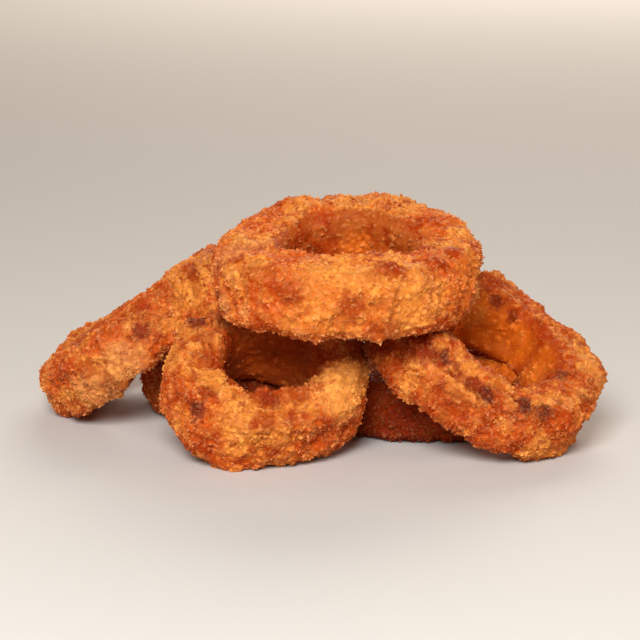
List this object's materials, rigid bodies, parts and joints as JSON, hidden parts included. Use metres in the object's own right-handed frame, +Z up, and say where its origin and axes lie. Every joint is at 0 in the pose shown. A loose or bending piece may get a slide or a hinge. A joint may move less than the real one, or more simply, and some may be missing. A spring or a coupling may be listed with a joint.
{
  "type": "onion rings side",
  "caption": "Side dish of battered, fried onion rings lying in a loose pile: some flat on the surface, some leaning on those, and a large ring on top.",
  "frame": {"origin": "middle of the pile's footprint, on the surface that it lies on", "axes": "+Z up, +X along the pile's longest side and to the viewer's right, -Y towards the viewer"},
  "size_m": [0.1726, 0.1168, 0.0701],
  "materials": {
    "top_ring_crust": "crisp golden fried batter, rough and crumbly, a little oily",
    "front_ring_crust": "crisp golden-brown fried batter, rough and crumbly, a little oily",
    "left_ring_crust": "crisp golden-brown fried batter, rough and crumbly, a little oily",
    "right_ring_crust": "crisp, darker brown fried batter, rough and crumbly, a little oily",
    "base_ring_crust": "crisp golden-brown fried batter, rough and crumbly, a little oily"
  },
  "bodies": {
    "root": {"top_ring": "top_ring_crust", "front_ring": "front_ring_crust", "left_ring": "left_ring_crust", "right_ring": "right_ring_crust", "base_left_ring": "base_ring_crust", "base_right_ring": "base_ring_crust"}
  },
  "joints": []
}
